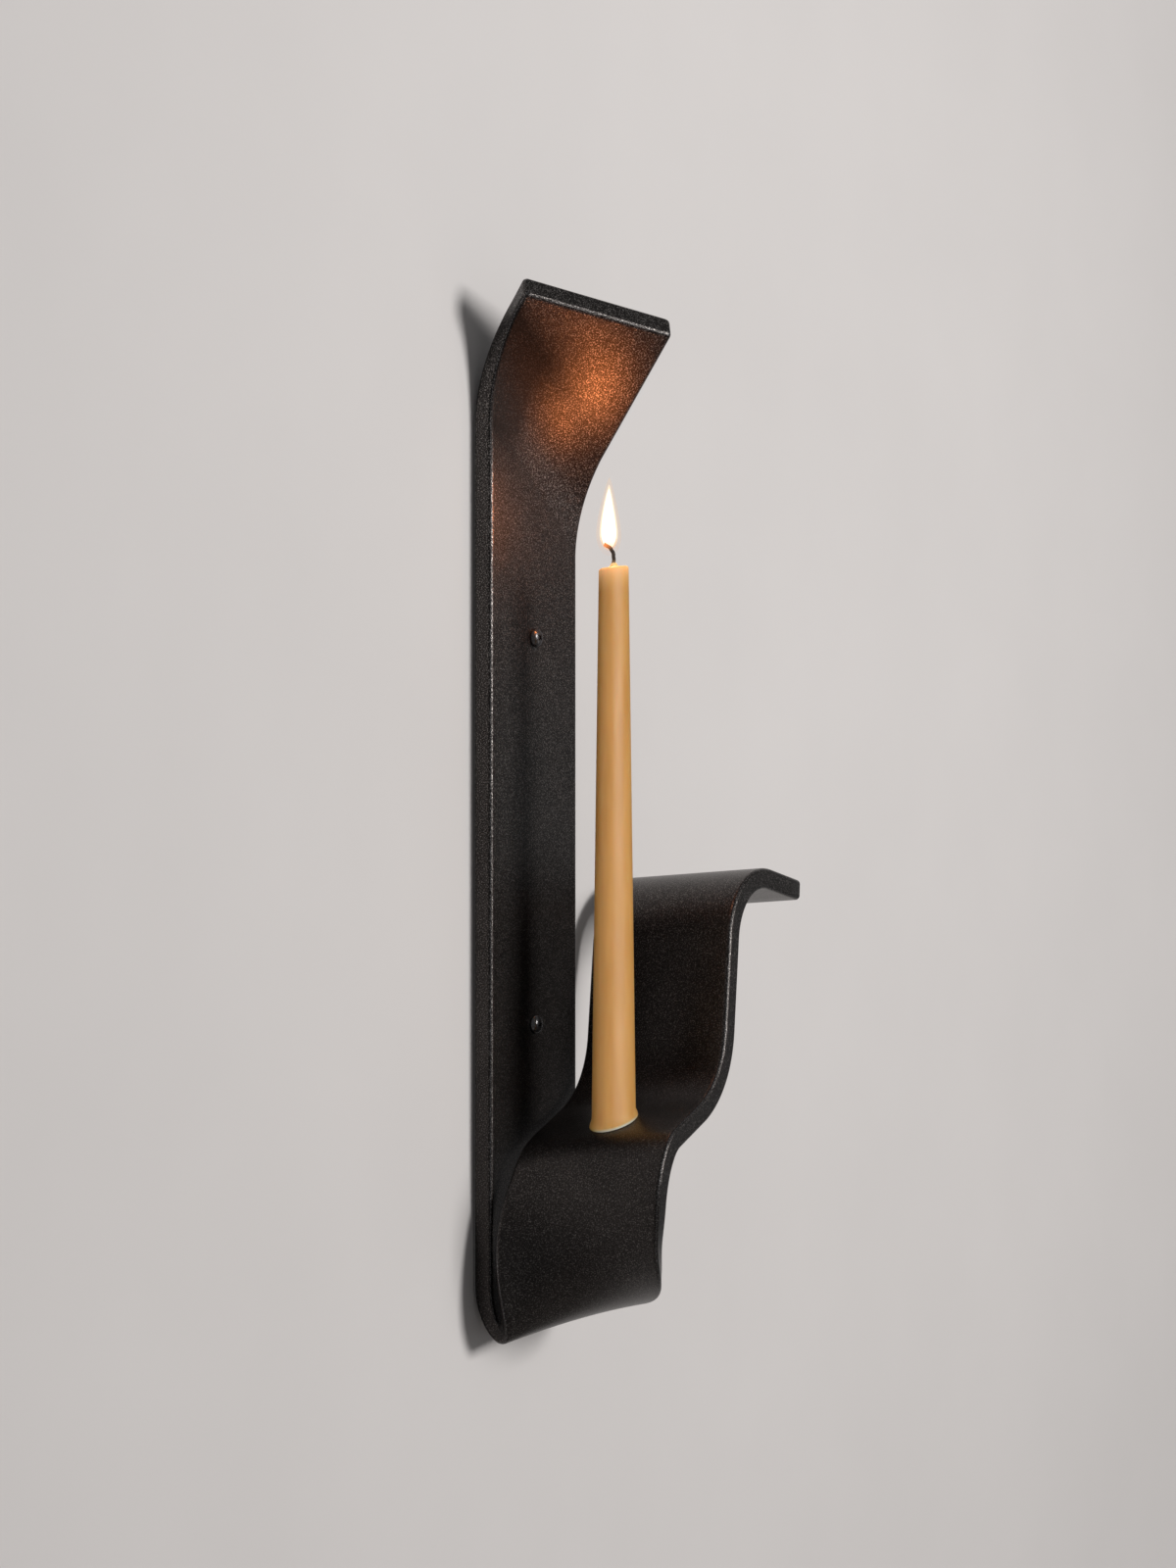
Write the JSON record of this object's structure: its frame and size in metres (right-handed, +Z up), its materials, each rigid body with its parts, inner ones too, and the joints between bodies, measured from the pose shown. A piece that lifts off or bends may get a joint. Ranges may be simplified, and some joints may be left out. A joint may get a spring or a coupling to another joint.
{
  "type": "candle wall light",
  "caption": "Wall light for a taper candle: a flat blackened bar bent into back plate, flared hood, turned fold, sloping candle shelf and curled lip, screwed to the wall.",
  "frame": {"origin": "on the wall plane, midway between the axes of the two wall screws", "axes": "+X to the right as seen from the room, +Y into the wall along the screws, +Z up the back plate"},
  "size_m": [0.1802, 0.138, 0.5108],
  "materials": {
    "blackened_iron": "blackened satin with a fine cast grain, rubbed bright along the arrises",
    "spike_steel": "plain turned steel",
    "honey_wax": "soft satin wax",
    "cotton_wick": "charred cotton",
    "black_screw": "black satin"
  },
  "bodies": {
    "holder": {"bent_bar": "blackened_iron", "candle_spike": "spike_steel", "wall_screws": "black_screw"},
    "candle": {"candle": "honey_wax", "wick": "cotton_wick"}
  },
  "joints": [
    {"name": "candle_lift", "type": "slide", "parent": "holder", "child": "candle", "axis": [0, 0, 1], "range_m": [0, 0.025]}
  ]
}
